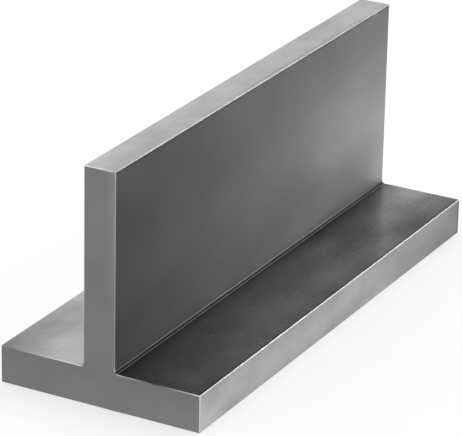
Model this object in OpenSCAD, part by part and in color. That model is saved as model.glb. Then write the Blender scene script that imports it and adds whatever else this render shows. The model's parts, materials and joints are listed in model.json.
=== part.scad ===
// T-profile: a short sawn piece of sharp-cornered bright steel T bar.
// The bar lies along Y on the underside of its flange, with its web standing up.
// It is one solid: the web and the flange were drawn together as a single section.

/* [Section] */
// Width of the flange, across the bar
flange_width = 45; // [25:0.5:120]
// Thickness of the flange
flange_thickness = 8; // [3:0.25:20]
// Height of the whole section, from under the flange to the top of the web
section_height = 50; // [30:0.5:140]
// Thickness of the web
web_thickness = 7; // [3:0.25:18]

/* [Length] */
// Length of the piece, from one sawn end to the other
bar_length = 117; // [30:1:1000]

/* [Edges] */
// Radius of the six long outer edges
edge_radius = 0.2; // [0.1:0.05:0.8]
// Radius in the two inner corners, where the web meets the flange
root_radius = 0.7; // [0.2:0.05:1.5]
// Size of the 45 degree bevel that breaks the edges of each sawn end
end_bevel = 0.15; // [0.1:0.05:0.8]

/* [Hidden] */
// Facets of a full turn on the small radii
$fn = 48;
// How far a cutting shape runs past the face that it cuts
overrun = 1;
steel_grey = [0.46, 0.46, 0.47];

// A rectangle standing on the X axis and centred across it, with its four corners rounded
module rounded_strip(width, height, radius) {
    difference() {
        translate([-width / 2, 0]) square([width, height]);
        for (side = [-1, 1])
            for (upper = [0, 1])
                translate([side * width / 2, upper * height])
                    corner_waste(-side, 1 - 2 * upper, radius);
    }
}

// What rounding takes off a square corner at the origin, whose strip lies towards across and up
module corner_waste(across, up, radius) {
    difference() {
        translate([across * radius / 2, up * radius / 2])
            square(radius, center = true);
        translate([across * radius, up * radius]) circle(radius);
    }
}

// Plan or side outline of a bar, size by bar_length, with the corners of both ends bevelled
module bevelled_outline(size) {
    half_size = size / 2;
    half_length = bar_length / 2;
    polygon([
        [half_size, half_length - end_bevel], [half_size - end_bevel, half_length],
        [end_bevel - half_size, half_length], [-half_size, half_length - end_bevel],
        [-half_size, end_bevel - half_length], [end_bevel - half_size, -half_length],
        [half_size - end_bevel, -half_length], [half_size, end_bevel - half_length]
    ]);
}

// A flat bar on the XY plane along Y: rounded long edges, bevelled ends
module flat_bar(width, height) {
    intersection() {
        translate([0, bar_length / 2, 0]) rotate([90, 0, 0])
            linear_extrude(bar_length) rounded_strip(width, height, edge_radius);
        translate([0, 0, -overrun])
            linear_extrude(height + 2 * overrun) bevelled_outline(width);
        translate([-width / 2 - overrun, 0, height / 2]) rotate([0, 90, 0])
            linear_extrude(width + 2 * overrun) bevelled_outline(height);
    }
}

// The fillet in the inner corner on the +X side: a square rod with the round cut out of it,
// opening to a cone at both ends, where the bevel follows it
module root_fillet() {
    sunk = 2 * end_bevel;
    rod = root_radius + sunk;
    round_x = web_thickness / 2 + root_radius;
    round_z = flange_thickness + root_radius;
    difference() {
        translate([round_x - rod, -bar_length / 2, round_z - rod])
            cube([rod, bar_length, rod]);
        translate([round_x, 0, round_z]) rotate([90, 0, 0])
            cylinder(h = bar_length + 2 * overrun, r = root_radius, center = true);
        for (end = [-1, 1])
            translate([round_x, end * bar_length / 2, round_z]) rotate([end * 90, 0, 0])
                cylinder(h = end_bevel, r1 = root_radius + end_bevel, r2 = root_radius);
    }
}

// The whole bar
module t_profile() {
    color(steel_grey) union() {
        flat_bar(flange_width, flange_thickness);
        flat_bar(web_thickness, section_height);
        root_fillet();
        mirror([1, 0, 0]) root_fillet();
    }
}

t_profile();
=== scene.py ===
"""A short sawn piece of bright steel T bar, standing on its flange.

The bar is one drawn section. Its shape is worked out by a Geometry Nodes tree from the sizes of the
section, and its one material tells the drawn faces, the sawn ends and the rubbed edges apart, with
painted light, shade and highlights on them.
"""

import json
import math

import bpy
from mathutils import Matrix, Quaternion, Vector


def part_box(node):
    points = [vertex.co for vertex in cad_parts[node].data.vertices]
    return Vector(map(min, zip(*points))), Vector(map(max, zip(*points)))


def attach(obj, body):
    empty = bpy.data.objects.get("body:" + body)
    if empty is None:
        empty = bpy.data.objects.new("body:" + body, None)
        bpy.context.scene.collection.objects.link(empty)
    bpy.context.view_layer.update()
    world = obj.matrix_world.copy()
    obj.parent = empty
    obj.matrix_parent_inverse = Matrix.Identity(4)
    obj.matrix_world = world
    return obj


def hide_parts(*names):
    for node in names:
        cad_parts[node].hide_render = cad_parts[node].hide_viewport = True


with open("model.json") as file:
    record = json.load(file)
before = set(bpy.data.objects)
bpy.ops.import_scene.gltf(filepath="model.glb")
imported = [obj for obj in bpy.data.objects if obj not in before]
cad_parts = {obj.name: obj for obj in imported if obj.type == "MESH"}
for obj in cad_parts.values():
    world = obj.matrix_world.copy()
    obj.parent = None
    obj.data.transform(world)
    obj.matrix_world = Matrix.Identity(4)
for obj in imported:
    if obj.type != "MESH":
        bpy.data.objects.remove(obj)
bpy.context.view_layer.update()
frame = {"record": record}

# ---------------------------------------------------------------- sizes, in metres

MM = 0.001
NODE = "t_profile"

bar_low, bar_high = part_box(NODE)
faces = {mount["name"]: Vector(mount["pos_m"]) for mount in frame["record"]["mounts"]}

flange_width = bar_high.x - bar_low.x
section_height = bar_high.z - bar_low.z
bar_length = bar_high.y - bar_low.y
flange_thickness = faces["right_ledge"].z
web_thickness = 2 * faces["web_right_side"].x

EDGE_RADIUS = 0.2 * MM  # long outer edges, rounded by the die
ROOT_RADIUS = 0.7 * MM  # inner corners between web and flange
END_BEVEL = 0.15 * MM  # broken edges of the sawn ends
NICK_DEPTH = 0.04 * MM  # how far handling has dinted the outer edges
MESH_STEP = 0.9 * MM  # spacing of the mesh on the flat faces


# ---------------------------------------------------------------- helpers

class Tree:
    """A node tree that is written one node at a time. A value given to a node is linked if it is a
    socket, and otherwise set on the node's own socket."""

    def __init__(self, tree):
        self.nodes = tree.nodes
        self.links = tree.links

    def add(self, kind, inputs=None, **settings):
        """A new node with its settings and inputs."""
        node = self.nodes.new(kind)
        for name, value in settings.items():
            setattr(node, name, value)
        for key, value in (inputs or {}).items():
            self.feed(node.inputs[key], value)
        return node

    def feed(self, socket, value):
        """Links a socket to another, or sets its value."""
        if isinstance(value, bpy.types.NodeSocket):
            self.links.new(value, socket)
        else:
            socket.default_value = value

    def math(self, operation, *values, clamp=False):
        kind = "ShaderNodeMath"
        node = self.add(kind, dict(enumerate(values)), operation=operation, use_clamp=clamp)
        return node.outputs[0]

    def vector_math(self, operation, *values, scale=None):
        node = self.add("ShaderNodeVectorMath", dict(enumerate(values)), operation=operation)
        if scale is not None:
            self.feed(node.inputs["Scale"], scale)
        return node.outputs["Vector"]

    def compare(self, operation, a, b):
        node = self.add("FunctionNodeCompare", {0: a, 1: b}, data_type="FLOAT", operation=operation)
        return node.outputs[0]

    def both(self, a, b):
        return self.add("FunctionNodeBooleanMath", {0: a, 1: b}, operation="AND").outputs[0]

    def either(self, a, b):
        return self.add("FunctionNodeBooleanMath", {0: a, 1: b}, operation="OR").outputs[0]

    def combine(self, x=0.0, y=0.0, z=0.0):
        return self.add("ShaderNodeCombineXYZ", {0: x, 1: y, 2: z}).outputs[0]

    def separate(self, vector):
        return self.add("ShaderNodeSeparateXYZ", {0: vector}).outputs

    def mix(self, mask, below, above):
        """below where the mask is 0, above where it is 1."""
        inputs = {0: mask, 2: below, 3: above}
        return self.add("ShaderNodeMix", inputs, data_type="FLOAT").outputs[0]

    def ramp(self, value, start, end, low=0.0, high=1.0):
        """A smooth change from low to high while the value goes from start to end."""
        return self.add(
            "ShaderNodeMapRange",
            {0: value, 1: start, 2: end, 3: low, 4: high},
            interpolation_type="SMOOTHSTEP",
        ).outputs[0]

    def noise(self, place, per_metre, detail, stretch=(1.0, 1.0, 1.0)):
        """A random value around 0.5, with the given number of grains in a metre along each axis."""
        scaled = self.vector_math("MULTIPLY", place, stretch)
        settings = {"Vector": scaled, "Scale": per_metre, "Detail": detail}
        return self.add("ShaderNodeTexNoise", settings).outputs[0]


def link_object(name, data):
    """A new object in the scene that holds the given mesh, light or camera."""
    thing = bpy.data.objects.new(name, data)
    bpy.context.scene.collection.objects.link(thing)
    return thing


# ---------------------------------------------------------------- the bar's shape

BAR_SIZES = {
    "Flange Width": flange_width,
    "Flange Thickness": flange_thickness,
    "Section Height": section_height,
    "Web Thickness": web_thickness,
    "Bar Length": bar_length,
    "Edge Radius": EDGE_RADIUS,
    "Root Radius": ROOT_RADIUS,
    "End Bevel": END_BEVEL,
    "Nick Depth": NICK_DEPTH,
    "Mesh Step": MESH_STEP,
}
ROUNDING_SEGMENTS = 6  # mesh segments in the quarter turn of each rounded edge
ROOT_CORNERS = (3, 6)  # the two inner corners, by their place in tee_corners
NICKS_PER_METRE = 260  # grain of the noise that places the dints
NICK_NOISE = (0.6, 0.74)  # the noise below which there is no dint, and above which it is full
WELD_DISTANCE = 0.001 * MM


def tee_corners(tree, size):
    """The eight corners of the T, right-handed from the flange's lower right, as vectors in XY."""
    half_flange = tree.math("MULTIPLY", size["Flange Width"], 0.5)
    half_web = tree.math("MULTIPLY", size["Web Thickness"], 0.5)
    left_flange = tree.math("MULTIPLY", half_flange, -1.0)
    left_web = tree.math("MULTIPLY", half_web, -1.0)
    thickness, height = size["Flange Thickness"], size["Section Height"]
    return [
        tree.combine(left_flange, 0.0),
        tree.combine(half_flange, 0.0),
        tree.combine(half_flange, thickness),
        tree.combine(half_web, thickness),
        tree.combine(half_web, height),
        tree.combine(left_web, height),
        tree.combine(left_web, thickness),
        tree.combine(left_flange, thickness),
    ]


def tee_outline(tree, size):
    """The rounded outline of the T as a closed curve in XY, with points along its flats too."""
    index = tree.add("GeometryNodeInputIndex").outputs[0]
    corners = tee_corners(tree, size)
    pick = tree.add("GeometryNodeIndexSwitch", data_type="VECTOR")
    while len(pick.index_switch_items) < len(corners):
        pick.index_switch_items.new()
    tree.feed(pick.inputs["Index"], index)
    for number, corner in enumerate(corners):
        tree.feed(pick.inputs[number + 1], corner)
    ring = tree.add(
        "GeometryNodeCurvePrimitiveCircle", {"Resolution": len(corners)}, mode="RADIUS"
    ).outputs["Curve"]
    sharp = tree.add(
        "GeometryNodeSetPosition", {"Geometry": ring, "Position": pick.outputs[0]}
    ).outputs[0]
    first_root, second_root = (tree.compare("EQUAL", index, float(c)) for c in ROOT_CORNERS)
    radius = tree.add(
        "GeometryNodeSwitch",
        {
            "Switch": tree.either(first_root, second_root),
            "False": size["Edge Radius"],
            "True": size["Root Radius"],
        },
        input_type="FLOAT",
    ).outputs[0]
    rounded = tree.add(
        "GeometryNodeFilletCurve",
        {"Curve": sharp, "Count": ROUNDING_SEGMENTS, "Radius": radius},
        mode="POLY",
    ).outputs[0]
    return tree.add(
        "GeometryNodeSubdivideCurve",
        {"Curve": rounded, "Cuts": cuts_to_next_point(tree, rounded, index, size["Mesh Step"])},
    ).outputs[0]


def cuts_to_next_point(tree, curve, index, step):
    """How many cuts divide the stretch from each point of a closed curve to the next into steps."""
    count = point_count(tree, curve)
    following = tree.math("MODULO", tree.math("ADD", index, 1.0), count)
    here = tree.add("GeometryNodeInputPosition").outputs[0]
    there = tree.add(
        "GeometryNodeFieldAtIndex",
        {"Value": here, "Index": following},
        data_type="FLOAT_VECTOR",
        domain="POINT",
    ).outputs[0]
    gap = tree.add("ShaderNodeVectorMath", {0: here, 1: there}, operation="DISTANCE")
    return tree.math("FLOOR", tree.math("DIVIDE", gap.outputs["Value"], step))


def point_count(tree, curve):
    """How many points a curve has."""
    size = tree.add("GeometryNodeAttributeDomainSize", {"Geometry": curve}, component="CURVE")
    return size.outputs["Point Count"]


def outline_normal(tree):
    """The direction out of the section at each point of its outline, in XY."""
    tangent = tree.separate(tree.add("GeometryNodeInputTangent").outputs[0])
    outward = tree.combine(tangent["Y"], tree.math("MULTIPLY", tangent["X"], -1.0))
    return tree.vector_math("NORMALIZE", outward)


def drawn_skin(tree, size, outline):
    """The long faces: a sheet whose columns follow the outline and whose rows run along the bar.
    The first and last rows are drawn in by the bevel."""
    columns = tree.math("ADD", point_count(tree, outline), 1.0)
    bevels = tree.math("MULTIPLY", size["End Bevel"], 2.0)
    straight = tree.math("SUBTRACT", size["Bar Length"], bevels)
    whole_steps = tree.math("FLOOR", tree.math("DIVIDE", straight, size["Mesh Step"]))
    rows = tree.math("ADD", whole_steps, 4.0)
    sheet = tree.add(
        "GeometryNodeMeshGrid", {"Vertices X": columns, "Vertices Y": rows}
    ).outputs["Mesh"]

    index = tree.add("GeometryNodeInputIndex").outputs[0]
    column = tree.math("FLOOR", tree.math("DIVIDE", index, rows))
    row = tree.math("MODULO", index, rows)
    last_row = tree.math("SUBTRACT", rows, 1.0)
    is_first = tree.compare("EQUAL", row, 0.0)
    is_last = tree.compare("EQUAL", row, last_row)

    column_on_outline = tree.math("MODULO", column, point_count(tree, outline))
    place = sample_outline(
        tree, outline, tree.add("GeometryNodeInputPosition").outputs[0], column_on_outline
    )
    outward = sample_outline(tree, outline, outline_normal(tree), column_on_outline)
    drawn_in = tree.math("MULTIPLY", tree.math("ADD", is_first, is_last), size["End Bevel"])
    place = tree.vector_math(
        "SUBTRACT", place, tree.vector_math("SCALE", outward, scale=drawn_in)
    )

    inner_rows = tree.math("SUBTRACT", rows, 3.0)
    share = tree.math("DIVIDE", tree.math("SUBTRACT", row, 1.0), inner_rows, clamp=True)
    along = tree.math("MULTIPLY", tree.math("SUBTRACT", share, 0.5), straight)
    bevel_run = tree.math("MULTIPLY", tree.math("SUBTRACT", is_last, is_first), size["End Bevel"])
    along = tree.math("ADD", along, bevel_run)

    flat = tree.separate(place)
    wrapped = tree.add(
        "GeometryNodeSetPosition",
        {"Geometry": sheet, "Position": tree.combine(flat["X"], along, flat["Y"])},
    ).outputs[0]
    return tree.add("GeometryNodeFlipFaces", {"Mesh": wrapped}).outputs[0]


def sample_outline(tree, outline, value, index):
    """The value of a field at one point of the outline."""
    return tree.add(
        "GeometryNodeSampleIndex",
        {"Geometry": outline, "Value": value, "Index": index},
        data_type="FLOAT_VECTOR",
        domain="POINT",
    ).outputs[0]


def sawn_end(tree, size, outline, side):
    """The flat end face at the -Y or +Y end of the bar, facing out."""
    drawn_in = tree.add(
        "GeometryNodeSetPosition",
        {
            "Geometry": outline,
            "Offset": tree.vector_math(
                "SCALE", outline_normal(tree), scale=tree.math("MULTIPLY", size["End Bevel"], -1.0)
            ),
        },
    ).outputs[0]
    face = tree.add("GeometryNodeFillCurve", {"Curve": drawn_in}, mode="NGONS").outputs[0]
    flat = tree.separate(tree.add("GeometryNodeInputPosition").outputs[0])
    end = tree.math("MULTIPLY", size["Bar Length"], 0.5 * side)
    standing = tree.add(
        "GeometryNodeSetPosition",
        {"Geometry": face, "Position": tree.combine(flat["X"], end, flat["Y"])},
    ).outputs[0]
    if side < 0:
        return standing
    return tree.add("GeometryNodeFlipFaces", {"Mesh": standing}).outputs[0]


def nicked_edges(tree, size, bar):
    """Small dints knocked into the long outer edges, here and there, but not into the roots."""
    place = tree.add("GeometryNodeInputPosition").outputs[0]
    normal = tree.add("GeometryNodeInputNormal").outputs[0]
    turned = tree.separate(normal)
    across_edge = tree.math("ABSOLUTE", tree.math("MULTIPLY", turned["X"], turned["Z"]))
    where = tree.separate(place)
    from_middle = tree.math("ABSOLUTE", where["X"])
    grip = tree.math("ADD", size["Web Thickness"], size["Root Radius"])
    by_root = tree.both(
        tree.compare("LESS_THAN", from_middle, grip),
        tree.compare("LESS_THAN", where["Z"], tree.math("MULTIPLY", size["Section Height"], 0.5)),
    )
    chance = tree.noise(place, NICKS_PER_METRE, 1.0)
    depth = tree.math("MULTIPLY", tree.ramp(chance, *NICK_NOISE), size["Nick Depth"])
    depth = tree.math("MULTIPLY", tree.math("MULTIPLY", across_edge, 2.0), depth)
    depth = tree.math("MULTIPLY", depth, tree.math("SUBTRACT", 1.0, by_root))
    inward = tree.vector_math("SCALE", normal, scale=tree.math("MULTIPLY", depth, -1.0))
    return tree.add("GeometryNodeSetPosition", {"Geometry": bar, "Offset": inward}).outputs[0]


def sharp_borders(tree, bar):
    """Smooth shading on the rounded edges, and a crisp border where they run out into a flat."""
    smooth = tree.add(
        "GeometryNodeSetShadeSmooth", {"Geometry": bar, "Shade Smooth": True}, domain="FACE"
    ).outputs[0]
    angle = tree.add("GeometryNodeInputMeshEdgeAngle").outputs["Unsigned Angle"]
    rounding_step = math.radians(90) / ROUNDING_SEGMENTS
    corner = tree.compare("GREATER_THAN", angle, 1.5 * rounding_step)
    run_out = tree.both(  # the turn between a flat and the first segment is half a step
        tree.compare("GREATER_THAN", angle, 0.25 * rounding_step),
        tree.compare("LESS_THAN", angle, 0.75 * rounding_step),
    )
    return tree.add(
        "GeometryNodeSetShadeSmooth",
        {"Geometry": smooth, "Selection": tree.either(corner, run_out), "Shade Smooth": False},
        domain="EDGE",
    ).outputs[0]


def bar_tree(steel):
    """The Geometry Nodes tree that makes the whole bar from the sizes of its section."""
    group = bpy.data.node_groups.new("drawn_tee_bar", "GeometryNodeTree")
    for name in BAR_SIZES:
        socket = group.interface.new_socket(name, in_out="INPUT", socket_type="NodeSocketFloat")
        socket.subtype = "DISTANCE"
    group.interface.new_socket("Geometry", in_out="OUTPUT", socket_type="NodeSocketGeometry")
    tree = Tree(group)
    size = tree.add("NodeGroupInput").outputs

    outline = tee_outline(tree, size)
    parts = tree.add("GeometryNodeJoinGeometry")
    for part in (
        drawn_skin(tree, size, outline),
        sawn_end(tree, size, outline, -1),
        sawn_end(tree, size, outline, 1),
    ):
        tree.links.new(part, parts.inputs[0])
    closed = tree.add(
        "GeometryNodeMergeByDistance", {"Geometry": parts.outputs[0], "Distance": WELD_DISTANCE}
    ).outputs[0]
    shaded = sharp_borders(tree, nicked_edges(tree, size, closed))
    real = tree.add("GeometryNodeRealizeInstances", {"Geometry": shaded}).outputs[0]
    coated = tree.add("GeometryNodeSetMaterial", {"Geometry": real, "Material": steel}).outputs[0]
    tree.add("NodeGroupOutput", {"Geometry": coated})
    return group


def make_bar(steel):
    """Runs the tree once and keeps its result as a plain mesh."""
    group = bar_tree(steel)
    maker = link_object("bar_maker", bpy.data.meshes.new("bar_maker"))
    modifier = maker.modifiers.new("drawn_tee_bar", "NODES")
    modifier.node_group = group
    for item in group.interface.items_tree:
        if item.in_out == "INPUT":
            modifier[item.identifier] = BAR_SIZES[item.name]
    evaluated = maker.evaluated_get(bpy.context.evaluated_depsgraph_get())
    mesh = bpy.data.meshes.new_from_object(evaluated)
    mesh.name = "t_bar"
    bpy.data.objects.remove(maker)
    return link_object("t_bar", mesh)


# ---------------------------------------------------------------- material

WEB_TONE = 0.355  # how much light each finish throws back
FLANGE_TONE = 0.325
# the flange's outer sides and the crest: a lighter finish that also carries painted light
SIDE_TONE = 0.51
CREST_TONE = 0.584
SAWN_TONE = 0.193
# rubbed outer edges, lighter also as a painted highlight
RUBBED_AND_HIGHLIT_TONE = 0.65
# painted shade in the turn of the root
ROOT_SHADE_TONE = 0.026
ROOT_BORDER_TONES = (0.26, 0.2)  # painted reflection lines beside the root's dark line, on the web and on the flange
GRAZING_TINT = 0.5  # oil and oxide keep the steel from glaring at a low angle

WEB_ROUGHNESS = 0.45
FLANGE_ROUGHNESS = 0.26
NARROW_ROUGHNESS = 0.36
SAWN_ROUGHNESS = 0.42
RUBBED_ROUGHNESS = 0.28

EVEN = (1.0, 1.0, 1.0)
ALONG = (60.0, 1.0, 60.0)  # stretches a noise into lines along the bar
LITTLE_ALONG = (1.0, 0.65, 1.0)
LEVEL = (1.0, 1.0, 50.0)  # stretches a noise into the level marks of the saw

# Random changes of the finish: grains in a metre, fineness, stretch, and how far they go.
CLOUDS = {"per_metre": 110, "detail": 4.0, "stretch": LITTLE_ALONG, "most": 0.12}
DRAWN_LINES = {"per_metre": 40, "detail": 3.0, "stretch": ALONG, "most": 0.025}
SPECKS = {"per_metre": 2200, "detail": 1.0, "stretch": EVEN, "most": 1.0}
SAW_LINES = {"per_metre": 60, "detail": 3.0, "stretch": LEVEL, "most": 0.012}
SAWN_CLOUDS = {"per_metre": 110, "detail": 3.0, "stretch": EVEN, "most": 0.04}
ROUGHNESS_DRIFT = {"per_metre": 70, "detail": 4.0, "stretch": EVEN, "most": 0.03}
SPECK_STRENGTHS = (0.035, 0.09)  # everywhere else, and on the right ledge
WEB_MOTTLE = 0.35  # how much of the mottle shows on the web, where the other faces have all of it

RUBBED_AND_HIGHLIT_PATCHES = {"per_metre": 220, "detail": 3.0}
RUBBED_AND_HIGHLIT_LEAST = 0.6  # how bright the least rubbed and highlit stretch of an edge still is
ROOT_SHADE_TURN = (0.62, 0.88)  # how far into the turn of the root its painted dark line starts
FLAT_AND_TURNED = (0.995, 0.965)  # cosines of the turn at which a flat ends and the root begins
FLAT_AND_WORN_HIGHLIT = (0.99, 0.94)  # the same, where an outer edge begins to be rubbed and painted bright

RELIEF_LINES = {"per_metre": 150, "detail": 2.0, "stretch": ALONG}
RELIEF_SAW_LINES = {"per_metre": 120, "detail": 2.0, "stretch": LEVEL}
RELIEF_PORES = {"per_metre": 1200, "detail": 1.0}
RELIEF_STRENGTH = 0.06
RELIEF_DEPTH = 0.02 * MM

HALF_WEB = web_thickness / 2
HALF_WIDTH = flange_width / 2
HALF_LENGTH = bar_length / 2
LEDGE = flange_thickness  # the height at which both ledges lie
CREST = section_height

# Marks of painted light and shade, and marks left by drawing, handling and storage: centre, reach,
# and how much lighter (+) or darker (-) the steel is there. A reach of 0 leaves that axis out.
# Painted shade where the right ledge mirrors the web's dark side, with painted light near the far
# end.
RIGHT_LEDGE_PAINTED_SHADING = [
    ((HALF_WEB, 0, 0), (14 * MM, 0, 0), -0.7),  # painted shade along the root, where the ledge mirrors the web's dark side
    ((HALF_WIDTH - EDGE_RADIUS, 0, 0), (0.8 * MM, 0, 0), -0.45),  # a painted shade line inside the edge
    ((HALF_WIDTH, 0.2 * bar_length, 0), (4 * MM, 0.5 * bar_length, 0), -0.25),
    ((HALF_WIDTH - 2 * MM, 0.35 * bar_length, 0), (12 * MM, 19 * MM, 0), -0.6),  # painted shade toward the far end
    ((HALF_WEB, 0.28 * bar_length, 0), (9 * MM, 20 * MM, 0), -0.4),
    ((0, -0.02 * bar_length, 0), (0, 0.4 * bar_length, 0), -0.32),
    ((0, 0.21 * bar_length, 0), (0, 0.16 * bar_length, 0), -0.3),
    ((HALF_WIDTH, HALF_LENGTH, 0), (14 * MM, 28 * MM, 0), -0.28),
    ((HALF_WEB + 5 * MM, HALF_LENGTH + 2 * MM, 0), (8 * MM, 16 * MM, 0), 1.2),  # painted light beside the web at the far end
    ((11.5 * MM, 0.33 * bar_length, 0), (7 * MM, 9 * MM, 0), 0.3),
    ((HALF_WEB + 1 * MM, 0.2 * bar_length, 0), (4 * MM, 25 * MM, 0), -0.35),
    ((HALF_WIDTH - 3 * MM, 0.3 * bar_length, 0), (5 * MM, 14 * MM, 0), -0.3),
]
# Painted light and shade on the left ledge.
LEFT_LEDGE_PAINTED_SHADING = [
    ((-12 * MM, 0, 0), (60 * MM, 0, 0), 0.68),  # painted light: the left ledge lighter than the right
    ((-HALF_WIDTH, -HALF_LENGTH, 0), (11 * MM, 20 * MM, 0), -0.5),
    ((-19 * MM, -0.3 * bar_length, 0), (14 * MM, 18 * MM, 0), -0.24),
    ((-HALF_WIDTH, -0.2 * bar_length, 0), (12 * MM, 20 * MM, 0), 0.2),
    ((-19 * MM, -0.38 * bar_length, 0), (5 * MM, 8 * MM, 0), -0.18),
    ((-12 * MM, -0.43 * bar_length, 0), (7 * MM, 9 * MM, 0), 0.15),
]
SOLE_MARKS = [
    ((0, -0.1 * bar_length, 0), (19 * MM, 70 * MM, 0), 0.45),  # where it has slid on benches
    ((9 * MM, 0.22 * bar_length, 0), (13 * MM, 27 * MM, 0), -0.3),
    ((-8 * MM, -0.27 * bar_length, 0), (10 * MM, 23 * MM, 0), -0.25),
    ((-HALF_WIDTH, 0.1 * bar_length, 0), (9 * MM, 60 * MM, 0), -0.2),
]
# Painted shade and light on the web's sides and the ledges: darker toward the front and the crest,
# lighter toward the ledges.
BROAD_MARKS_AND_PAINTED_SHADING = [
    ((0, 26 * MM, CREST), (0, 80 * MM, 27 * MM), -0.3),
    ((0, HALF_LENGTH, CREST), (0, 25 * MM, 10 * MM), -0.15),
    ((0, HALF_LENGTH, 32 * MM), (0, 22 * MM, 12 * MM), 0.1),
    ((0, -HALF_LENGTH, 30 * MM), (0, 60 * MM, 40 * MM), -0.33),
    ((0, -0.1 * bar_length, LEDGE), (0, 0.55 * bar_length, 14 * MM), 0.37),
    ((0, 0.22 * bar_length, LEDGE), (0, 0.27 * bar_length, 10 * MM), 0.34),
    ((0, 0.4 * bar_length, 15 * MM), (0, 14 * MM, 9 * MM), -0.2),  # a darker patch
    ((0, 0.3 * bar_length, 34 * MM), (0, 20 * MM, 20 * MM), 0.12),
    ((0, 0, CREST - EDGE_RADIUS), (0, 0, 0.7 * MM), -0.35),  # a painted shade line under the crest's edge
    ((0, 0, LEDGE + ROOT_RADIUS + 0.1 * MM), (0, 0, 0.5 * MM), -0.2),  # and one above the root
]
# Painted light and shade on the flange's outer sides, darker toward the far end.
SIDE_PAINTED_SHADING = [
    ((0, HALF_LENGTH, 0), (0, 0.35 * bar_length, 0), -0.35),
    ((0, -HALF_LENGTH, 0), (0, 14 * MM, 0), 0.12),
    ((0, -0.15 * bar_length, 0), (0, 45 * MM, 4 * MM), -0.1),  # darker toward the sole
    ((0, HALF_LENGTH, 0), (0, 1.2 * MM, 0), -0.7),  # a painted shade line along the far end's bevel
]
CREST_MARKS = [
    # A painted shade line inside the edge, which fades out toward both ends.
    ((HALF_WEB - 0.6 * MM, 0.12 * bar_length, 0), (0.6 * MM, 0.35 * bar_length, 0), -0.25),
    ((-HALF_WEB, -HALF_LENGTH, 0), (5 * MM, 50 * MM, 0), 0.145),
    ((HALF_WEB, -HALF_LENGTH, 0), (5 * MM, 22 * MM, 0), -0.2),
]
# Painted light and shade on the cut ends.
SAWN_PAINTED_SHADING = [
    ((0, 0, -1 * MM), (0, 0, 8 * MM), 0.24),  # painted light along the foot, against the floor's mirrored shadow
    ((0.6 * HALF_WIDTH, 0, 0), (16 * MM, 0, 8 * MM), 0.05),
    ((-HALF_WIDTH, 0, 0), (13 * MM, 0, 14 * MM), -0.12),
]
WEB_END_MARKS = [
    ((HALF_WEB, 0, 0), (2.4 * MM, 0, 0), 0.22),  # lighter beside the web's edge
]
# Rubbed edges and their painted highlights: how much brighter or darker the edge line is in places.
RUBBING_AND_HIGHLIGHT_MARKS = [
    ((HALF_WEB, -HALF_LENGTH, LEDGE), (4 * MM, 4 * MM, 100 * MM), -0.65),  # up the web's end
    ((HALF_WEB, -HALF_LENGTH, LEDGE), (2 * MM, 2 * MM, 2 * MM), 1.5),  # in the corner of the root
    ((12.5 * MM, -HALF_LENGTH, LEDGE), (10 * MM, 3 * MM, 3 * MM), -0.9),
    ((-20 * MM, -HALF_LENGTH, LEDGE), (10 * MM, 3 * MM, 3 * MM), -0.7),
    ((HALF_WEB, 0, CREST), (2 * MM, 0, 2 * MM), -0.4),  # along the crest
    ((HALF_WEB, -HALF_LENGTH, CREST), (2 * MM, 70 * MM, 2 * MM), 0.6),
    ((HALF_WEB, HALF_LENGTH, CREST), (2 * MM, 40 * MM, 2 * MM), -0.3),
    ((0, -HALF_LENGTH, CREST), (8 * MM, 2 * MM, 2 * MM), 0.4),
    ((HALF_WIDTH, -HALF_LENGTH, LEDGE), (2 * MM, 60 * MM, 2 * MM), 0.35),  # along the flange
    ((HALF_WIDTH, HALF_LENGTH, LEDGE), (2 * MM, 50 * MM, 2 * MM), -0.45),
    ((HALF_WIDTH, 0.15 * bar_length, LEDGE), (2 * MM, 45 * MM, 2 * MM), -0.3),
]
ROOT_BORDER_MARKS = [
    ((0, HALF_LENGTH, 0), (0, 0.6 * bar_length, 0), -0.65),  # fainter toward the far end
]


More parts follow.
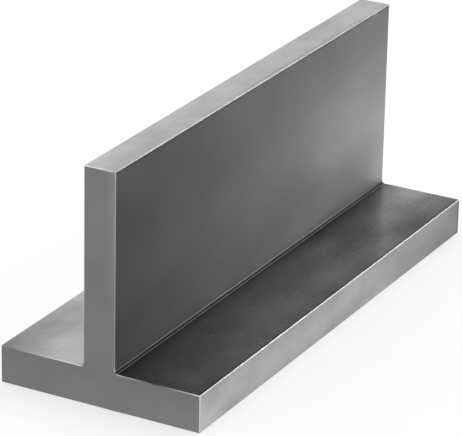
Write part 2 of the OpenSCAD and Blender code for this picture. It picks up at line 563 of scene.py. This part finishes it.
class Faces:
    """Masks that tell the faces of the bar apart, from the direction and place of its surface."""

    def __init__(self, tree, place, normal):
        x, z = tree.math("ABSOLUTE", place["X"]), place["Z"]
        facing = {axis: tree.math("ABSOLUTE", normal[axis]) for axis in "XYZ"}
        flattest = tree.math("MAXIMUM", tree.math("MAXIMUM", facing["X"], facing["Y"]), facing["Z"])
        turned = tree.ramp(flattest, *FLAT_AND_TURNED)
        worn_and_highlit = tree.ramp(flattest, *FLAT_AND_WORN_HIGHLIT)
        low = tree.math("LESS_THAN", z, LEDGE + 1.5 * ROOT_RADIUS)
        above_sole = tree.math("GREATER_THAN", z, LEDGE / 2)
        by_web = tree.math("LESS_THAN", x, HALF_WEB + 1.5 * ROOT_RADIUS)
        along = tree.math("LESS_THAN", facing["Y"], 0.1)
        corner = tree.math("MULTIPLY", tree.math("MULTIPLY", low, above_sole), by_web)
        on_right = tree.math("GREATER_THAN", place["X"], 0.0)

        self.sawn = tree.math("GREATER_THAN", facing["Y"], 0.9)
        self.side = tree.math("GREATER_THAN", x, HALF_WIDTH - EDGE_RADIUS / 2)
        self.crest = tree.math("GREATER_THAN", z, CREST - EDGE_RADIUS / 2)
        self.narrow = tree.math("MAXIMUM", self.side, self.crest)
        self.broad = tree.math("SUBTRACT", 1.0, self.narrow)
        self.flange = tree.math("MULTIPLY", tree.math("GREATER_THAN", facing["Z"], 0.7), low)
        self.ledges = tree.math("MULTIPLY", self.flange, above_sole)
        self.right_ledge = tree.math("MULTIPLY", self.ledges, on_right)
        self.left_ledge = tree.math("SUBTRACT", self.ledges, self.right_ledge)
        self.sole = tree.math("SUBTRACT", self.flange, self.ledges)
        self.root = tree.math("MULTIPLY", tree.math("MULTIPLY", corner, along), turned)
        self.edge = tree.math("MULTIPLY", worn_and_highlit, tree.math("SUBTRACT", 1.0, self.root))
        self.root_on_flange = tree.math("GREATER_THAN", facing["Z"], facing["X"])
        self.mid_turn = tree.math("MULTIPLY", tree.math("MULTIPLY", facing["X"], facing["Z"]), 2.0)


def mark(tree, spread, centre, reach, most):
    """A factor for the tone, 1 + most at a mark's centre and fading to 1 at its reach."""
    used = [float(size > 0) for size in reach]
    centred = tree.vector_math("MULTIPLY", tree.vector_math("SUBTRACT", spread, centre), used)
    scaled = tree.vector_math("DIVIDE", centred, [size or 1.0 for size in reach])
    near = tree.add("ShaderNodeTexGradient", {"Vector": scaled}, gradient_type="SPHERICAL")
    return tree.math("MULTIPLY_ADD", near.outputs["Fac"], most, 1.0)


def marked(tree, spread, marks):
    """All the marks of a list as one factor."""
    factor = mark(tree, spread, *marks[0])
    for other in marks[1:]:
        factor = tree.math("MULTIPLY", factor, mark(tree, spread, *other))
    return factor


def drift(tree, spread, per_metre, detail, stretch, most):
    """A random drift between -most and +most."""
    return tree.ramp(tree.noise(spread, per_metre, detail, stretch), 0.3, 0.7, -most, most)


def drawn_tone(tree, spread, face):
    """The tone of the drawn faces, with painted light and shade, and what handling and storage have
    left on them.
    """
    tone = tree.mix(face.flange, WEB_TONE, FLANGE_TONE)
    tone = tree.mix(face.side, tone, SIDE_TONE)
    tone = tree.mix(face.crest, tone, CREST_TONE)
    for mask, marks in (
        (face.broad, BROAD_MARKS_AND_PAINTED_SHADING),
        (face.right_ledge, RIGHT_LEDGE_PAINTED_SHADING),
        (face.left_ledge, LEFT_LEDGE_PAINTED_SHADING),
        (face.sole, SOLE_MARKS),
        (face.side, SIDE_PAINTED_SHADING),
        (face.crest, CREST_MARKS),
    ):
        tone = tree.math("MULTIPLY", tone, tree.mix(mask, 1.0, marked(tree, spread, marks)))

    clouds = drift(tree, spread, **CLOUDS)
    lines = drift(tree, spread, **DRAWN_LINES)
    specks = drift(tree, spread, **SPECKS)
    specks = tree.math("MULTIPLY", specks, tree.mix(face.right_ledge, *SPECK_STRENGTHS))
    mottle = tree.math("ADD", tree.math("ADD", clouds, lines), specks)
    strength = tree.math("MAXIMUM", tree.math("MAXIMUM", face.narrow, face.flange), WEB_MOTTLE)
    return tree.math("MULTIPLY", tone, tree.math("MULTIPLY_ADD", mottle, strength, 1.0))


def sawn_tone(tree, spread):
    """The tone of the cut ends, with faint level marks of the saw, and painted light and shade."""
    saw_lines = drift(tree, spread, **SAW_LINES)
    clouds = drift(tree, spread, **SAWN_CLOUDS)
    mottle = tree.math("ADD", tree.math("ADD", saw_lines, clouds), 1.0)
    up_the_web = tree.ramp(tree.separate(spread)["Z"], 12 * MM, 45 * MM)
    lighter_by_web_edge = tree.mix(up_the_web, 1.0, marked(tree, spread, WEB_END_MARKS))
    lit_and_shaded = tree.math("MULTIPLY", lighter_by_web_edge, marked(tree, spread, SAWN_PAINTED_SHADING))
    return tree.math("MULTIPLY", tree.math("MULTIPLY", mottle, SAWN_TONE), lit_and_shaded)


def rubbed_and_highlit_edges(tree, spread, face, tone):
    """Bright metal where handling has rubbed the outer edges, with painted highlights along them,
    more in some places than others.
    """
    # patchy along the edges, both wear and painted highlight
    rubbed = tree.ramp(tree.noise(spread, **RUBBED_AND_HIGHLIT_PATCHES), 0.3, 0.55, RUBBED_AND_HIGHLIT_LEAST, 1.0)
    bright = tree.math("MULTIPLY", marked(tree, spread, RUBBING_AND_HIGHLIGHT_MARKS), RUBBED_AND_HIGHLIT_TONE)
    return tree.mix(tree.math("MULTIPLY", rubbed, face.edge), tone, bright)


def painted_root_lines(tree, spread, face, tone):
    """Painted shade: a dark line in the turn of the root, between two lighter lines of painted
    reflection where it runs out.
    """
    border = tree.mix(face.root_on_flange, *ROOT_BORDER_TONES)
    border = tree.math("MULTIPLY", border, marked(tree, spread, ROOT_BORDER_MARKS))
    # painted shade in the middle of the root's turn
    scale = tree.ramp(face.mid_turn, *ROOT_SHADE_TURN)
    return tree.mix(face.root, tone, tree.mix(scale, border, ROOT_SHADE_TONE))


def finish_roughness(tree, spread, face):
    """How rough each finish is, drifting a little from place to place."""
    roughness = tree.mix(face.flange, WEB_ROUGHNESS, FLANGE_ROUGHNESS)
    roughness = tree.mix(face.narrow, roughness, NARROW_ROUGHNESS)
    roughness = tree.mix(face.sawn, roughness, SAWN_ROUGHNESS)
    roughness = tree.mix(face.edge, roughness, RUBBED_ROUGHNESS)
    return tree.math("ADD", roughness, drift(tree, spread, **ROUGHNESS_DRIFT))


def fine_relief(tree, spread, face):
    """The fine lines of drawing and sawing, and pores, as a bump in the surface."""
    drawn = tree.noise(spread, **RELIEF_LINES)
    sawn = tree.noise(spread, **RELIEF_SAW_LINES)
    pores = tree.noise(spread, **RELIEF_PORES)
    relief = tree.math("MULTIPLY_ADD", pores, 0.5, tree.mix(face.sawn, drawn, sawn))
    bump = tree.add("ShaderNodeBump", {"Height": relief})
    bump.inputs["Strength"].default_value = RELIEF_STRENGTH
    bump.inputs["Distance"].default_value = RELIEF_DEPTH
    return bump.outputs[0]


def bright_steel():
    """The one material of the bar."""
    material = bpy.data.materials.new("bright_steel")
    material.use_nodes = True
    tree = Tree(material.node_tree)
    shader = tree.nodes["Principled BSDF"]
    coords = tree.add("ShaderNodeTexCoord").outputs
    spread = coords["Object"]
    face = Faces(tree, tree.separate(spread), tree.separate(coords["Normal"]))

    tone = tree.mix(face.sawn, drawn_tone(tree, spread, face), sawn_tone(tree, spread))
    tone = rubbed_and_highlit_edges(tree, spread, face, tone)
    tone = painted_root_lines(tree, spread, face, tone)
    tree.feed(shader.inputs["Base Color"], tone)
    tree.feed(shader.inputs["Roughness"], finish_roughness(tree, spread, face))
    tree.feed(shader.inputs["Normal"], fine_relief(tree, spread, face))
    shader.inputs["Metallic"].default_value = 1.0
    shader.inputs["Specular Tint"].default_value = (GRAZING_TINT, GRAZING_TINT, GRAZING_TINT, 1)
    return material


# ---------------------------------------------------------------- floor, light and camera

FLOOR_REACH = 6.0  # from the middle of the floor to its edges
FLOOR_COLOUR = (0.85, 0.85, 0.85, 1)
FLOOR_ROUGHNESS = 0.9
FLOOR_WHITENESS = 0.5  # added where the floor is shown directly, so that it reaches white
WHITE = (1, 1, 1, 1)
WORLD_LIGHT = 0.6  # the studio's strength on dull surfaces
WORLD_MIRRORED = (1.0, 0.4)  # its strength in polished steel, on the left and on the right
BACK_SOFTBOX_PLACE = (0.06, 0.98, 0.68)
BACK_SOFTBOX_SIZE = (0.25, 0.15)
BACK_SOFTBOX_WATTS = 0.8
CARD_LIFT = 0.0005  # how high the cards lie above the floor
CAMERA_LENS = 245.7  # in the camera's own millimetres, for a sensor 36 wide
CAMERA_AIM = (0.0, -0.0059, 0.0214)
CAMERA_DISTANCE = 0.6488
CAMERA_ANGLES = (28.33, 22.41, 1.19)  # azimuth, elevation and roll, in degrees


def make_floor():
    """A wide pale floor that looks white, straight or in a mirror, and keeps the shadow."""
    half = FLOOR_REACH
    mesh = bpy.data.meshes.new("floor")
    corners = [(-half, -half, 0), (half, -half, 0), (half, half, 0), (-half, half, 0)]
    mesh.from_pydata(corners, [], [(0, 1, 2, 3)])
    floor = link_object("floor", mesh)
    material = bpy.data.materials.new("pale_floor")
    material.use_nodes = True
    tree = Tree(material.node_tree)
    shader = tree.nodes["Principled BSDF"]
    shader.inputs["Base Color"].default_value = FLOOR_COLOUR
    shader.inputs["Roughness"].default_value = FLOOR_ROUGHNESS
    shader.inputs["Specular IOR Level"].default_value = 0.0
    shader.inputs["Emission Color"].default_value = WHITE
    glow = tree.math("MULTIPLY", shown_directly(tree), FLOOR_WHITENESS)
    tree.feed(shader.inputs["Emission Strength"], glow)
    mesh.materials.append(material)


def shown_directly(tree):
    """1 for what is seen straight, or in a polished surface, or through glass."""
    path = tree.add("ShaderNodeLightPath").outputs
    return tree.math(
        "MAXIMUM",
        path["Is Camera Ray"],
        tree.math("MAXIMUM", path["Is Glossy Ray"], path["Is Transmission Ray"]),
    )


def make_world():
    """A white studio all around, of which polished steel sees a darker half on the right."""
    world = bpy.data.worlds.new("studio")
    bpy.context.scene.world = world
    world.use_nodes = True
    tree = Tree(world.node_tree)
    background = tree.nodes["Background"]
    background.inputs["Color"].default_value = WHITE
    path = tree.add("ShaderNodeLightPath").outputs
    direction = tree.separate(tree.add("ShaderNodeTexCoord").outputs["Generated"])
    mirrored = tree.ramp(direction["X"], 0.0, 0.25, *WORLD_MIRRORED)
    strength = tree.mix(path["Is Glossy Ray"], WORLD_LIGHT, mirrored)
    plain = tree.math("MAXIMUM", path["Is Camera Ray"], path["Is Transmission Ray"])
    tree.feed(background.inputs["Strength"], tree.mix(plain, strength, 1.0))


def make_softbox():
    """The lamp high behind the bar, which draws the light lines along its edges."""
    light = bpy.data.lights.new("back_softbox", "AREA")
    light.shape = "RECTANGLE"
    light.size, light.size_y = BACK_SOFTBOX_SIZE
    light.energy = BACK_SOFTBOX_WATTS
    lamp = link_object("back_softbox", light)
    lamp.location = BACK_SOFTBOX_PLACE
    toward_bar = Vector((0, 0, 0.02)) - Vector(BACK_SOFTBOX_PLACE)
    lamp.rotation_mode = "QUATERNION"
    lamp.rotation_quaternion = toward_bar.to_track_quat("-Z", "Y")


def make_camera():
    """A long lens that looks down along the bar from the front right."""
    camera = bpy.data.cameras.new("camera")
    camera.lens = CAMERA_LENS
    camera.sensor_width = 36
    camera.clip_start, camera.clip_end = 0.01, 50
    azimuth, elevation, roll = map(math.radians, CAMERA_ANGLES)
    back = Vector(
        (
            math.sin(azimuth) * math.cos(elevation),
            -math.cos(azimuth) * math.cos(elevation),
            math.sin(elevation),
        )
    )
    holder = link_object("camera", camera)
    holder.location = Vector(CAMERA_AIM) + back * CAMERA_DISTANCE
    holder.rotation_mode = "QUATERNION"
    turn = (-back).to_track_quat("-Z", "Y")
    holder.rotation_quaternion = turn @ Quaternion((0, 0, 1), roll)
    bpy.context.scene.camera = holder


def reflector(name, corners, glow):
    """A flat card that only polished surfaces see. glow builds its light in the card's tree."""
    mesh = bpy.data.meshes.new(name)
    mesh.from_pydata(corners, [], [tuple(range(len(corners)))])
    card = link_object(name, mesh)
    for ray in ("camera", "diffuse", "transmission", "volume_scatter", "shadow"):
        setattr(card, "visible_" + ray, False)
    material = bpy.data.materials.new(name)
    material.use_nodes = True
    tree = Tree(material.node_tree)
    tree.nodes.remove(tree.nodes["Principled BSDF"])
    tree.feed(tree.nodes["Material Output"].inputs["Surface"], glow(tree))
    mesh.materials.append(material)


def even_glow(tree, strength):
    """The same light all over a card."""
    return tree.add("ShaderNodeEmission", {"Strength": strength}).outputs[0]


def soft_glow(tree, centre, reach, strength):
    """Light that fades smoothly away from a centre, added to whatever is seen through it."""
    place = tree.add("ShaderNodeTexCoord").outputs["Object"]
    scaled = tree.vector_math("DIVIDE", tree.vector_math("SUBTRACT", place, centre), reach)
    square = tree.add("ShaderNodeVectorMath", {0: scaled, 1: scaled}, operation="DOT_PRODUCT")
    fade = tree.math("EXPONENT", tree.math("MULTIPLY", square.outputs["Value"], -1.0))
    light = tree.add("ShaderNodeEmission", {"Strength": tree.math("MULTIPLY", fade, strength)})
    clear = tree.add("ShaderNodeBsdfTransparent")
    return tree.add("ShaderNodeAddShader", {0: light.outputs[0], 1: clear.outputs[0]}).outputs[0]


def painted_shade_card():
    """A dark card on the table to the right of the bar, seen only in polished steel: painted shade
    on the table, which the web's side mirrors and which gives it its depth.
    """
    near, slant = 0.038, 0.13
    front, far, wide = -0.06, 1.0, 1.2
    corners = [
        (near, front, CARD_LIFT),
        (wide, front, CARD_LIFT),
        (wide, far, CARD_LIFT),
        (near + slant * far, far, CARD_LIFT),
        (near, 0.0, CARD_LIFT),
    ]
    reflector("painted_shade_card", corners, lambda tree: even_glow(tree, 0.05))


def low_light():
    """A small soft light behind and to the right, low down, that the web and the flange mirror."""
    x, y, z = centre = (0.130, 0.2, 0.051)
    wide, high = 0.065, 0.034
    left, right, foot, top = x - 2 * wide, x + 2 * wide, 0.001, z + 2 * high
    corners = [(left, y, foot), (right, y, foot), (right, y, top), (left, y, top)]
    reflector("low_light", corners, lambda tree: soft_glow(tree, centre, (wide, 1.0, high), 7.0))


def floor_glow():
    """A soft pool of light on the table behind the far end of the bar."""
    x, y, z = centre = (0.014, 0.112, 0.8 * CARD_LIFT)
    reach = 0.025
    left, right, front, back = x - 2 * reach, x + 2 * reach, y - 2 * reach, y + 2 * reach
    corners = [(left, front, z), (right, front, z), (right, back, z), (left, back, z)]
    fade = (reach, reach, 1.0)
    reflector("floor_glow", corners, lambda tree: soft_glow(tree, centre, fade, 1.3))


make_camera()
make_world()
make_floor()
make_softbox()
painted_shade_card()
low_light()
floor_glow()

steel = bright_steel()
bar = make_bar(steel)
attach(bar, "root")
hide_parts(NODE)

bpy.context.scene.view_settings.view_transform = "Standard"
